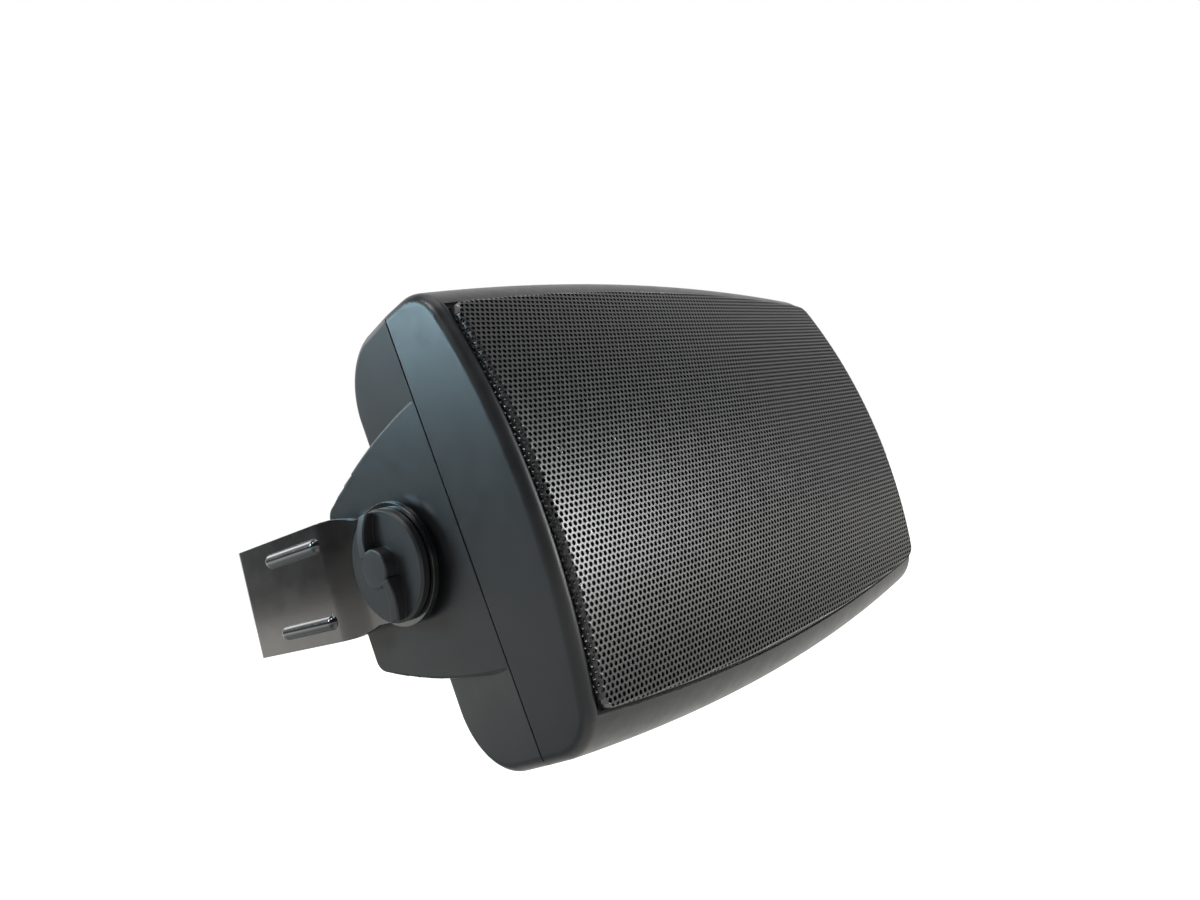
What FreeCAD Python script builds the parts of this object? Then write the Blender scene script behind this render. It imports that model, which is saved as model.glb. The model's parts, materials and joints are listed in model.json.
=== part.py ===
import FreeCAD, Part
import math
import os
import Sketcher
from types import SimpleNamespace

# Two-way loudspeaker in a moulded cabinet, hung between the arms of a folded steel U-bracket.
# Row frame, in millimetres: origin at the centre of the bracket's wall face, +Z up, +Y into
# the wall, the grille towards -Y, the long side along X.
# The cabinet has a frame of its own, with its origin on the tilt axis midway between the ears.

Vector = FreeCAD.Vector
Rotation = FreeCAD.Rotation
Placement = FreeCAD.Placement

SIZES = {
    # cabinet outline, shared by the front frame and the rear shell
    "cabinet_length": 224,
    "end_height": 144,
    "crown": 7.4,
    "wall": 3,
    "parting_depth": 30.2,
    "rest_tilt": -8.3,
    # front frame
    "frame_setback": 2.8,
    "front_round": 16,
    "end_round": 3.7,
    "lip_width": 4,
    "band_height": 9.1,
    "baffle_depth": 48.2,
    "baffle_thick": 4,
    "frame_wall": 7,
    "rim_depth": 5,
    "seam_gap": 0.5,
    "fit_gap": 0.3,
    # grille
    "grille_front": 65.3,
    "grille_radius": 236.5,
    "grille_sheet": 1,
    "grille_flange": 6,
    "grille_gap": 0.5,
    "grille_seat": 4.5,
    "grille_roll": 1.4,
    "hole_pitch": 15.6,
    "hole_across": 9.6,
    "hole_margin": 2,
    # rear shell
    "lobe_depth": 6.5,
    "lobe_round": 23,
    "lobe_taper": 7.5,
    "hub_depth": 34,
    "hub_front_half": 43.5,
    "hub_mid_half": 39.2,
    "hub_back_half": 28.3,
    "hub_round": 5,
    "hub_edge": 1.2,
    "hub_wall": 5,
    "boss_radius": 9,
    "boss_length": 12,
    # seal and screws between frame and shell
    "gasket_width": 1.2,
    "gasket_depth": 1.2,
    "gasket_inset": 1.1,
    "post_radius": 6.5,
    "post_end_inset": 17,
    "post_side_inset": 16,
    "screw_head": 3.4,
    "screw_shank": 1.5,
    "well_floor": 6,
    "well_clear": 0.8,
    "screw_length": 15,
    # pivot stack, from the hub face outwards
    "friction_radius": 16.5,
    "friction_thick": 2.5,
    "stack_gap": 0.1,
    "stud_radius": 2.95,
    "thread_gap": 0.05,
    "stud_reach": 14,
    "stud_hole_gap": 0.45,
    "insert_radius": 4.6,
    "insert_length": 15,
    "washer_radius": 9,
    "washer_thick": 1,
    # knob
    "knob_radius": 18.2,
    "knob_disc": 2.8,
    "knob_lift": 0.3,
    "knob_edge": 0.7,
    "grip_height": 4.6,
    "grip_end_height": 2.8,
    "grip_boss": 6.3,
    "grip_tail": 3.8,
    "grip_bend": 13.9,
    "grip_bend_up": 7.15,
    "grip_bend_front": 10.6,
    "grip_root": 100,
    "grip_tip": 38,
    "grip_edge": 0.6,
    # bracket
    "arm_reach": 87.7,
    "arm_width": 39.8,
    "strip": 2,
    "joggle": 6,
    "joggle_start": 20.5,
    "joggle_end": 26.3,
    "neck_half": 17.6,
    "neck_end": 15.7,
    "neck_flare": 24,
    "fold_round": 4,
    "joggle_round": 8,
    "bead_radius": 2.6,
    "bead_height": 1.8,
    "bead_skin": 1,
    "bead_offset": 13,
    "bead_near": 29.8,
    "bead_far": 62.7,
    "slot_spacing": 90,
    "slot_width": 6,
    "slot_length": 14,
    "centre_hole": 3.2,
    # woofer, depths counted from the front of the baffle
    "woofer_x": 14,
    "woofer_radius": 54,
    "woofer_pitch": 50,
    "flange_thick": 2.5,
    "basket_mouth": 43.5,
    "basket_skin": 1.3,
    "ledge_radius": 33,
    "ledge_depth": 19,
    "basket_foot": 29,
    "basket_depth": 27,
    "window_width": 30,
    "cone_radius": 36,
    "cone_depth": 15,
    "cone_skin": 0.8,
    "roll_radius": 4,
    "roll_skin": 0.6,
    "roll_foot": 1.6,
    "coil_radius": 12.9,
    "coil_wire": 0.35,
    "former_skin": 0.2,
    "air_gap": 0.35,
    "coil_height": 6.4,
    "plate_radius": 30,
    "plate_thick": 4,
    "magnet_radius": 35,
    "magnet_bore": 16,
    "magnet_thick": 14,
    "yoke_radius": 32,
    "yoke_thick": 4,
    "cap_radius": 15.5,
    "cap_rise": 6,
    "cap_skin": 0.6,
    "spider_skin": 0.7,
    "spider_wave": 1.2,
    "spider_foot": 3,
    "trim_thick": 1.8,
    # tweeter
    "tweeter_x": -68,
    "tweeter_radius": 22,
    "tweeter_pitch": 19.4,
    "face_thick": 3,
    "throat_radius": 13.6,
    "throat_flare": 3,
    "dome_radius": 11.6,
    "dome_rise": 4.4,
    "dome_skin": 0.5,
    "pot_radius": 16.4,
    "pot_depth": 16,
    "pot_floor": 4,
    "tweeter_magnet_thick": 7,
    "tweeter_gap": 0.5,
    "tweeter_coil": 0.3,
    "tweeter_coil_depth": 4,
    "small_head": 2.2,
    "small_shank": 1.1,
    # crossover
    "board_inset": 15,
    "board_length": 52,
    "board_height": 40,
    "board_thick": 1.6,
    "standoff": 4.8,
    "standoff_radius": 3,
    "capacitor_radius": 6.5,
    "capacitor_length": 26,
    "bobbin_radius": 11,
    "bobbin_height": 14,
    "bobbin_core": 5,
    "bobbin_flange": 1.5,
    "resistor_length": 22,
    "resistor_height": 9,
    "resistor_depth": 8,
    # terminals
    "cup_length": 54,
    "cup_height": 34,
    "cup_depth": 13,
    "cup_skin": 1.6,
    "cup_flange": 4,
    "cup_side": 8,
    "cup_flange_thick": 2,
    "lever_width": 15,
    "lever_height": 22,
    "lever_thick": 3,
    "lever_offset": 10.5,
    "lever_rise": 4,
    "lever_gap": 0.3,
    "lug_width": 2.5,
    "pin_radius": 1.2,
    "pin_gap": 0.1,
    "pin_reach": 2,
    "lug_height": 5,
    "contact_thick": 0.8,
    "contact_width": 5,
    "contact_length": 11,
    "tab_length": 8,
    # wadding
    "pad_near": 40,
    "pad_far": 88,
    "pad_thick": 16,
    "pad_half": 20,
}


class Size:
    """A size that carries its value and its formula in the sheet's own names."""

    def __init__(self, value, formula):
        self.value = float(value)
        self.formula = formula

    def __add__(self, other):
        return Size(self.value + value_of(other), f"({self.formula} + {formula_of(other)})")

    def __sub__(self, other):
        return Size(self.value - value_of(other), f"({self.formula} - {formula_of(other)})")

    def __mul__(self, other):
        return Size(self.value * value_of(other), f"({self.formula} * {formula_of(other)})")

    def __truediv__(self, other):
        return Size(self.value / value_of(other), f"({self.formula} / {formula_of(other)})")

    def __neg__(self):
        return Size(-self.value, f"(0 - {self.formula})")

    def __radd__(self, other):
        return self + other

    def __rsub__(self, other):
        return -self + other

    def __rmul__(self, other):
        return self * other


def value_of(item):
    return item.value if isinstance(item, Size) else float(item)


def formula_of(item):
    return item.formula if isinstance(item, Size) else f"{float(item):.6f}"


doc = FreeCAD.newDocument("loudspeaker")
sheet = doc.addObject("Spreadsheet::Sheet", "dims")
for row, (name, value) in enumerate(SIZES.items(), start=1):
    sheet.set(f"A{row}", name)
    sheet.set(f"B{row}", str(value))
    sheet.setAlias(f"B{row}", name)
doc.recompute()
d = SimpleNamespace(**{name: Size(sheet.get(name), f"dims.{name}") for name in SIZES})

# Turns that lay a piece's own Z axis along the wanted direction.
UP = Rotation()
TO_BACK = Rotation(Vector(1, 0, 0), -90)
TO_FRONT = Rotation(Vector(1, 0, 0), 90)
TO_RIGHT = Rotation(Vector(0, 1, 0), 90)
TO_LEFT = Rotation(Vector(0, 1, 0), -90)
HALF_TURN = Rotation(Vector(0, 0, 1), 180)


# Helpers for document objects

def bind(item, prop, size):
    """Give a property a size and tie it to the sheet."""
    if isinstance(size, Size):
        item.setExpression(prop, size.formula)
    else:
        setattr(item, prop, size)


def place(item, at, turn=UP):
    """Stand an object at a point, with its coordinates tied to the sheet."""
    item.Placement = Placement(Vector(*[value_of(c) for c in at]), turn)
    for axis, coordinate in zip("xyz", at):
        if isinstance(coordinate, Size):
            item.setExpression(f"Placement.Base.{axis}", coordinate.formula)
    return item


def box(name, centre, spans):
    item = doc.addObject("Part::Box", name)
    for prop, span in zip(("Length", "Width", "Height"), spans):
        bind(item, prop, span)
    return place(item, [c - s / 2 for c, s in zip(centre, spans)])


def cylinder(name, radius, height, at, turn=UP):
    item = doc.addObject("Part::Cylinder", name)
    bind(item, "Radius", radius)
    bind(item, "Height", height)
    return place(item, at, turn)


def sphere(name, radius, at):
    item = doc.addObject("Part::Sphere", name)
    bind(item, "Radius", radius)
    return place(item, at)


def fuse(name, *parts):
    if len(parts) == 1:
        return parts[0]
    item = doc.addObject("Part::MultiFuse", name)
    item.Shapes = list(parts)
    return item


def common(name, first, second):
    item = doc.addObject("Part::MultiCommon", name)
    item.Shapes = [first, second]
    return item


def cut(name, base, *tools):
    item = doc.addObject("Part::Cut", name)
    item.Base = base
    item.Tool = fuse(name + "_tools", *tools)
    return item


def group(name, *parts):
    """Separate solids that share one node."""
    item = doc.addObject("Part::Compound", name)
    item.Links = list(parts)
    return item


def feature(name, shape):
    item = doc.addObject("Part::Feature", name)
    item.Shape = shape
    return item


def rounded(name, base, radius_of):
    """Round the edges of an object for which radius_of gives a radius."""
    doc.recompute()
    item = doc.addObject("Part::Fillet", name)
    item.Base = base
    picked = [(number, radius_of(edge)) for number, edge in enumerate(base.Shape.Edges, start=1)]
    item.Edges = [(number, radius, radius) for number, radius in picked if radius]
    return item


def body_sketch(body, role, points):
    """Closed outline on one of a body's own planes, each corner tied to the sheet."""
    sketch = body.newObject("Sketcher::SketchObject", body.Name + "_outline")
    plane = [item for item in body.Origin.OriginFeatures if item.Role == role][0]
    sketch.AttachmentSupport = (plane, [""])
    sketch.MapMode = "FlatFace"
    corners = [Vector(value_of(u), value_of(v), 0) for u, v in points]
    count = len(corners)
    for index in range(count):
        sketch.addGeometry(Part.LineSegment(corners[index], corners[(index + 1) % count]), False)
    for index in range(count):
        sketch.addConstraint(Sketcher.Constraint("Coincident", index, 2, (index + 1) % count, 1))
    for index, point in enumerate(points):
        for kind, size in zip(("DistanceX", "DistanceY"), point):
            rule = Sketcher.Constraint(kind, -1, 1, index, 1, value_of(size))
            number = sketch.addConstraint(rule)
            if isinstance(size, Size):
                sketch.setExpression(f"Constraints[{number}]", size.formula)
    return sketch


def turned(name, points, at=(0, 0, 0), turn=UP):
    """Body of revolution about its own Z axis, from corners given as radius and height."""
    body = doc.addObject("PartDesign::Body", name)
    sketch = body_sketch(body, "XZ_Plane", points)
    revolution = body.newObject("PartDesign::Revolution", name + "_turn")
    revolution.Profile = sketch
    revolution.ReferenceAxis = (sketch, ["V_Axis"])
    revolution.Angle = 360
    body.Tip = revolution
    return place(body, at, turn)


def padded(name, role, points, length, at=(0, 0, 0), turn=UP):
    """Body of constant section, padded evenly to both sides of its own plane."""
    body = doc.addObject("PartDesign::Body", name)
    pad = body.newObject("PartDesign::Pad", name + "_pad")
    pad.Profile = body_sketch(body, role, points)
    pad.SideType = "Symmetric"
    bind(pad, "Length", length)
    body.Tip = pad
    return place(body, at, turn)


NODES = []
CABINET = Placement(
    Vector(0, -d.arm_reach.value, 0), Rotation(Vector(1, 0, 0), d.rest_tilt.value)
)


def node(item, label, frame=CABINET):
    """Name a finished piece and bring it from its own frame into the row frame."""
    for axis in "xyz":
        item.setExpression(f"Placement.Base.{axis}", None)
    item.Label = label
    item.Placement = frame.multiply(item.Placement)
    NODES.append(item)


# Cabinet outline and the bowed front

half_length = d.cabinet_length / 2
board_x = -(d.cup_length / 2 + half_length - d.board_inset) / 2
parting = -d.parting_depth
baffle_front = -d.baffle_depth
BEYOND = 2 * d.cabinet_length.value


def barrel(inset_x, inset_z, y):
    """Face across the cabinet: straight ends, with top and bottom on concentric arcs."""
    half = half_length.value
    rise = d.crown.value
    full_radius = (half * half + rise * rise) / (2 * rise)
    centre = d.end_height.value / 2 + rise - full_radius
    radius = full_radius - inset_z
    x = half - inset_x
    z_end = centre + math.sqrt(radius * radius - x * x)
    z_mid = centre + radius
    corners = [Vector(-x, y, z_end), Vector(x, y, z_end), Vector(x, y, -z_end), Vector(-x, y, -z_end)]
    top = Part.Arc(corners[0], Vector(0, y, z_mid), corners[1]).toShape()
    bottom = Part.Arc(corners[2], Vector(0, y, -z_mid), corners[3]).toShape()
    right = Part.makeLine(corners[1], corners[2])
    left = Part.makeLine(corners[3], corners[0])
    return Part.Face(Part.Wire([top, right, bottom, left]))


def slab(inset_x, inset_z, y_from, y_to):
    """Length of the cabinet outline between two depths, set in from the outside."""
    return barrel(inset_x, inset_z, y_from).extrude(Vector(0, y_to - y_from, 0))


def bow(offset):
    """Big lying cylinder that bows the front, at an offset from the grille's outer face."""
    axis_y = d.grille_radius.value - d.grille_front.value
    start = Vector(-BEYOND / 2, axis_y, 0)
    return Part.makeCylinder(d.grille_radius.value + offset, BEYOND, start, Vector(1, 0, 0))


def rod(radius, y_from, y_to, x, z):
    return Part.makeCylinder(radius, y_to - y_from, Vector(x, y_from, z), Vector(0, 1, 0))


def along_x(edge):
    return edge.BoundBox.XLength > 0.6 * d.cabinet_length.value


def screw_points():
    """Six shell screws: one in each corner, one at the middle of the top and the bottom."""
    x = half_length.value - d.post_end_inset.value
    z = d.end_height.value / 2 - d.post_side_inset.value
    middle = z + d.crown.value
    corners = [(sx * x, sz * z) for sx in (-1, 1) for sz in (-1, 1)]
    return corners + [(0, middle), (0, -middle)]


def ring_points(x, radius, count=4):
    """Points of a screw circle about a driver's axis, turned half a step from upright."""
    steps = [math.radians(360 * (index + 0.5) / count) for index in range(count)]
    return [(x + radius * math.sin(step), radius * math.cos(step)) for step in steps]


woofer_points = ring_points(d.woofer_x.value, d.woofer_pitch.value)
tweeter_points = ring_points(d.tweeter_x.value, d.tweeter_pitch.value)
thread_bite = d.screw_shank.value + d.thread_gap.value
small_bite = d.small_shank.value + d.thread_gap.value


def make_front_frame():
    """Bezel and baffle in one moulding, with a seat for the grille and holes for the drivers."""
    y_part = parting.value
    y_front = -d.grille_front.value
    y_baffle = baffle_front.value
    y_back = y_baffle + d.baffle_thick.value
    block = slab(0, 0, y_part, y_front - 1).common(bow(-d.frame_setback.value))
    crest = [e for e in block.Edges if along_x(e) and e.BoundBox.YMax < y_part - 1]
    block = block.makeFillet(d.front_round.value, crest)
    ends = [e for e in block.Edges if e.BoundBox.XLength < 1e-4 and e.BoundBox.YMin < y_part - 1e-4]
    block = block.makeFillet(d.end_round.value, ends)

    rim = slab(d.wall.value, d.wall.value, y_part, y_part - d.rim_depth.value)
    room = slab(d.frame_wall.value, d.frame_wall.value, y_part, y_back)
    lip, band, seat = d.lip_width.value, d.band_height.value, d.grille_seat.value
    grille_seat = slab(lip, band, y_front - 1, y_baffle).cut(bow(-d.grille_flange.value))
    mouth = slab(lip + seat, band + seat, y_front - 1, y_baffle)
    shadow = d.seam_gap.value
    seam = slab(0, 0, y_part, y_part - shadow).cut(slab(shadow, shadow, y_part, y_part - shadow))
    shape = block.cut([rim, room, grille_seat, mouth, seam])

    inset, width = d.gasket_inset.value, d.gasket_width.value
    floor = y_part - d.gasket_depth.value
    groove = slab(inset, inset, y_part, floor).cut(slab(inset + width, inset + width, y_part, floor))
    bosses = [rod(d.post_radius.value, y_back, y_part, x, z) for x, z in screw_points()]
    shape = shape.fuse(bosses).cut(groove)

    bite = y_part - d.screw_length.value + d.well_floor.value - 1
    pilots = [rod(thread_bite, bite, y_part, x, z) for x, z in screw_points()]
    pilots += [rod(thread_bite, y_baffle, y_back, x, z) for x, z in woofer_points]
    pilots += [rod(small_bite, y_baffle, y_back, x, z) for x, z in tweeter_points]
    woofer_hole = rod(
        d.basket_mouth.value + d.fit_gap.value, y_baffle, y_back, d.woofer_x.value, 0
    )
    tweeter_hole = rod(
        d.pot_radius.value + d.fit_gap.value, y_baffle, y_back, d.tweeter_x.value, 0
    )
    return feature("front_frame", shape.cut(pilots + [woofer_hole, tweeter_hole]).removeSplitter())


def make_grille():
    """Bowed sheet with a return flange, rolled edges and a staggered field of holes."""
    skin = d.grille_sheet.value
    inset_x = d.lip_width.value + d.grille_gap.value
    inset_z = d.band_height.value + d.grille_gap.value
    y_front = -d.grille_front.value - 1
    y_back = baffle_front.value
    whole = slab(inset_x, inset_z, y_front, y_back).common(bow(0))
    brow = [e for e in whole.Edges if e.BoundBox.YMin < y_back - 1 and e.BoundBox.YMax < y_back - 1]
    whole = whole.makeFillet(d.grille_roll.value, brow)
    whole = whole.cut(bow(-d.grille_flange.value))
    inside = slab(inset_x + skin, inset_z + skin, y_front, y_back).common(bow(-skin))
    panel = whole.cut(inside)

    pitch, half_hole = d.hole_pitch.value, d.hole_across.value / 2
    edge = half_hole + skin + d.hole_margin.value
    field = barrel(inset_x + edge, inset_z + edge, y_front)
    row_step = pitch * math.sin(math.radians(60))
    rows = int(d.end_height.value / row_step)
    columns = int(d.cabinet_length.value / pitch)
    tools = []
    for row in range(-rows, rows + 1):
        for column in range(-columns, columns + 1):
            centre = Vector((column + (row % 2) / 2) * pitch, y_front, row * row_step)
            if field.isInside(centre, 1e-6, True):
                tools.append(hexagon_rod(centre, half_hole, y_back))
    return feature("grille", panel.cut(tools))


def hexagon_rod(centre, half_across, y_to):
    """Six-sided cutter with its flats across the rows."""
    corner = half_across / math.cos(math.radians(30))
    angles = [math.radians(60 * step + 90) for step in range(7)]
    points = [centre + Vector(corner * math.cos(a), 0, corner * math.sin(a)) for a in angles]
    return Part.Face(Part.makePolygon(points)).extrude(Vector(0, y_to - centre.y, 0))


def hub_profile(inset, x):
    """Section of the ridge that carries the pivots, in the plane at x."""
    y_front, y_mid, y_back = parting.value, 0, d.hub_depth.value - inset
    front, middle, back = (
        size.value - inset for size in (d.hub_front_half, d.hub_mid_half, d.hub_back_half)
    )
    upper = Part.Arc(Vector(x, y_front, front), Vector(x, y_mid, middle), Vector(x, y_back, back))
    lower = Part.Arc(Vector(x, y_back, -back), Vector(x, y_mid, -middle), Vector(x, y_front, -front))
    rear = Part.makeLine(Vector(x, y_back, back), Vector(x, y_back, -back))
    mouth = Part.makeLine(Vector(x, y_front, -front), Vector(x, y_front, front))
    return Part.Face(Part.Wire([upper.toShape(), rear, lower.toShape(), mouth]))


def hub_ridge(inset, half, corner):
    ridge = hub_profile(inset, -half).extrude(Vector(2 * half, 0, 0))
    y_back = d.hub_depth.value - inset
    rear = [e for e in ridge.Edges if along_x(e) and e.BoundBox.YMin > y_back - 1e-3]
    return ridge.makeFillet(corner, rear)


def lobes(inset, end_inset, corner):
    """Upper and lower lobe as one rounded tub behind the parting plane."""
    y_back = d.lobe_depth.value - inset
    tub = slab(end_inset, inset, parting.value, y_back)
    rear = [e for e in tub.Edges if along_x(e) and e.BoundBox.YMin > y_back - 1e-3]
    return tub.makeFillet(corner, rear)


def taper_wedge(side):
    """Wedge that leans one end of the lobes inwards from the parting line."""
    x, y = side * half_length.value, parting.value
    depth = d.parting_depth.value + d.lobe_depth.value + 1
    lean = depth * math.tan(math.radians(d.lobe_taper.value))
    tall = d.cabinet_length.value / 2
    points = [(x, y), (x + side * lean, y), (x + side * lean, y + depth), (x - side * lean, y + depth)]
    ring = [Vector(px, py, -tall) for px, py in points + points[:1]]
    return Part.Face(Part.makePolygon(ring)).extrude(Vector(0, 0, 2 * tall))


def make_rear_shell():
    """Moulded tub: two lobes, a hub ridge with pivot bosses, screw wells and a terminal window."""
    wall, y_part = d.wall.value, parting.value
    outer = lobes(0, 0, d.lobe_round.value).cut([taper_wedge(-1), taper_wedge(1)])
    slant = [
        e for e in outer.Edges
        if abs(e.CenterOfMass.x) > half_length.value - d.lobe_depth.value
        and e.BoundBox.YMax > y_part + 1e-3
    ]
    outer = outer.makeFillet(d.end_round.value, slant)
    ridge = hub_ridge(0, half_length.value, d.hub_round.value)
    faces = [
        e for e in ridge.Edges
        if e.BoundBox.XLength < 1e-4 and e.BoundBox.YMax > y_part + 1e-3
    ]
    ridge = ridge.makeFillet(d.hub_edge.value, faces)

    lean = (d.parting_depth.value + d.lobe_depth.value) * math.tan(math.radians(d.lobe_taper.value))
    hollow = lobes(wall, wall + lean, d.lobe_round.value - wall)
    inner_half = half_length.value - d.hub_wall.value
    channel = hub_ridge(wall, inner_half, d.hub_round.value - wall)
    shape = outer.fuse(ridge).cut([hollow, channel])

    posts = [rod(d.post_radius.value, y_part, d.lobe_depth.value - wall, x, z) for x, z in screw_points()]
    posts = [post.common(outer) for post in posts]
    sides = [(-1, Vector(1, 0, 0)), (1, Vector(-1, 0, 0))]
    bosses = [
        Part.makeCylinder(d.boss_radius.value, d.boss_length.value, Vector(s * inner_half, 0, 0), inward)
        for s, inward in sides
    ]
    y_inner = d.hub_depth.value - wall
    standoffs = [
        rod(d.standoff_radius.value, y_inner - d.standoff.value, y_inner, x, z) for x, z in board_points()
    ]
    shape = shape.fuse(posts + bosses + standoffs)

    well = d.screw_head.value + d.well_clear.value
    floor = y_part + d.well_floor.value
    wells = [rod(well, floor, d.lobe_depth.value + 1, x, z) for x, z in screw_points()]
    passes = [rod(d.screw_shank.value + d.stud_hole_gap.value, y_part, floor, x, z) for x, z in screw_points()]
    sockets = [
        Part.makeCylinder(
            d.insert_radius.value + d.thread_gap.value,
            d.insert_length.value,
            Vector(s * half_length.value, 0, 0),
            inward,
        )
        for s, inward in sides
    ]
    gap = d.fit_gap.value
    window = Part.makeBox(
        d.cup_length.value + 2 * gap,
        2 * wall,
        d.cup_height.value + 2 * gap,
        Vector(-d.cup_length.value / 2 - gap, d.hub_depth.value - 1.5 * wall, -d.cup_height.value / 2 - gap),
    )
    bites = [rod(thread_bite, y_inner - d.standoff.value, y_inner, x, z) for x, z in board_points()]
    bites += [rod(thread_bite, y_inner - 1, d.hub_depth.value + 1, x, z) for x, z in cup_points()]
    return feature("rear_shell", shape.cut(wells + passes + sockets + [window] + bites).removeSplitter())


def board_points():
    """Two screws on the crossover board's diagonal."""
    x = d.board_length.value / 2 - d.standoff_radius.value
    z = d.board_height.value / 2 - d.standoff_radius.value
    return [(board_x.value - x, z), (board_x.value + x, -z)]


def cup_points():
    """Four screws in the corners of the terminal cup's flange."""
    x = (d.cup_length.value + d.cup_side.value) / 2
    z = d.cup_height.value / 2 - d.cup_flange.value
    return [(sx * x, sz * z) for sx in (-1, 1) for sz in (-1, 1)]


node(make_front_frame(), "front_frame")
node(make_grille(), "grille")
node(make_rear_shell(), "rear_shell")


def make_gasket():
    inset, width = d.gasket_inset.value, d.gasket_width.value
    y_part, floor = parting.value, parting.value - d.gasket_depth.value
    ring = slab(inset, inset, y_part, floor).cut(slab(inset + width, inset + width, y_part, floor))
    return feature("shell_gasket", ring)


node(make_gasket(), "shell_gasket")


# Screws

def screw(name, head_y, x, z, length, outward, head, shank):
    """Pan-head screw standing on a seat at head_y, its head towards outward (+1 back, -1 front)."""
    turn = TO_BACK if outward > 0 else TO_FRONT
    points = [
        (0, -length),
        (shank, -length),
        (shank, 0),
        (head, 0),
        (head, head / 3),
        (head * 0.7, head * 0.62),
        (0, head * 0.7),
    ]
    return turned(name, points, (x, head_y, z), turn)


def screws(label, head_y, points, length, outward, head=d.screw_head, shank=d.screw_shank):
    heads = [
        screw(f"{label}_{index}", head_y, x, z, length, outward, head, shank)
        for index, (x, z) in enumerate(points, start=1)
    ]
    node(group(label, *heads), label)


screws("shell_screws", parting + d.well_floor, screw_points(), d.screw_length, 1)


# Pivot stack, built for the left side and turned half round for the right

hub_face = half_length
ear_inner = hub_face + d.friction_thick + d.stack_gap
ear_outer = ear_inner + d.strip
washer_seat = ear_outer + d.stack_gap
knob_seat = ear_outer + d.knob_lift
knob_top = knob_seat + d.knob_disc


def tube(name, outer, inner, low, high, turn):
    """Ring about the tilt axis between two distances from the cabinet's middle."""
    points = [(inner, low), (outer, low), (outer, high), (inner, high)]
    return turned(name, points, (0, 0, 0), turn)


def tail_face():
    """One curved tail of the finger grip, bulging to the back as it climbs."""
    bend, half = d.grip_bend.value, d.grip_tail.value / 2
    centre = Vector(d.grip_bend_up.value, -d.grip_bend_front.value, 0)

    def at(radius, degrees):
        angle = math.radians(degrees)
        return centre + Vector(radius * math.cos(angle), radius * math.sin(angle), 0)

    start, end = d.grip_root.value, d.grip_tip.value
    middle = (start + end) / 2
    outside = Part.Arc(*[at(bend + half, a) for a in (start, middle, end)]).toShape()
    inside = Part.Arc(*[at(bend - half, a) for a in (end, middle, start)]).toShape()
    tip = Part.makeLine(at(bend + half, end), at(bend - half, end))
    root = Part.makeLine(at(bend - half, start), at(bend + half, start))
    return Part.Face(Part.Wire([outside, tip, inside, root]))


def grip_shape():
    """S-shaped finger grip with a round boss at its middle and a crowned top."""
    low, high = knob_top.value - d.knob_edge.value, knob_top.value + d.grip_height.value
    rise = Vector(0, 0, high - low + 1)
    tail = tail_face().extrude(rise)
    other = tail.copy()
    other.rotate(Vector(0, 0, 0), Vector(0, 0, 1), 180)
    grip = Part.makeCylinder(d.grip_boss.value, rise.z).fuse([tail, other]).removeSplitter()
    grip.translate(Vector(0, 0, low))
    fall = d.grip_height.value - d.grip_end_height.value
    reach = d.knob_radius.value - d.knob_edge.value
    crown = (reach ** 2 + fall ** 2) / (2 * fall)
    dome = Part.makeSphere(crown, Vector(0, 0, high - crown))
    grip = grip.common(dome).common(Part.makeCylinder(reach, 2 * high))
    ridge = [e for e in grip.Edges if e.BoundBox.ZMax > low + 1 and e.BoundBox.ZMin > low + 1]
    return grip.makeFillet(d.grip_edge.value, ridge)


def make_knob(name, turn):
    edge = d.knob_edge
    recess = d.washer_radius + d.knob_lift
    ceiling = washer_seat + d.washer_thick + d.stack_gap
    bore = d.stud_radius + d.thread_gap
    blind = knob_top + d.grip_height / 2
    points = [
        (recess, knob_seat),
        (d.knob_radius, knob_seat),
        (d.knob_radius, knob_top - edge),
        (d.knob_radius - edge, knob_top),
        (0, knob_top),
        (0, ceiling),
        (recess, ceiling),
    ]
    disc = turned(name + "_disc", points)
    grip = feature(name + "_grip", grip_shape())
    solid = fuse(name + "_solid", disc, grip)
    hole = cylinder(name + "_hole", bore, blind - ceiling + 1, (0, 0, ceiling - 1))
    knob = cut(name, solid, hole)
    knob.Placement = Placement(Vector(0, 0, 0), turn)
    return knob


def make_pivot(side, turn):
    bore = d.stud_radius + d.stud_hole_gap
    node(make_knob(f"knob_{side}", turn), f"knob_{side}")
    stud = cylinder(
        f"knob_stud_{side}",
        d.stud_radius,
        knob_top + d.grip_height / 2 - hub_face + d.stud_reach,
        (0, 0, 0),
        turn,
    )
    stud.Placement = Placement(turn.multVec(Vector(0, 0, (hub_face - d.stud_reach).value)), turn)
    node(stud, f"knob_stud_{side}")
    name = f"press_washer_{side}"
    node(tube(name, d.washer_radius, bore, washer_seat, washer_seat + d.washer_thick, turn), name)
    name = f"friction_washer_{side}"
    node(tube(name, d.friction_radius, bore, hub_face, hub_face + d.friction_thick, turn), name)
    name = f"pivot_insert_{side}"
    thread = d.stud_radius + d.thread_gap
    node(tube(name, d.insert_radius, thread, hub_face - d.insert_length, hub_face, turn), name)


make_pivot("left", TO_LEFT)
make_pivot("right", HALF_TURN.multiply(TO_LEFT))


# Bracket, in the row frame

arm_face = ear_outer + d.joggle


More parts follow.
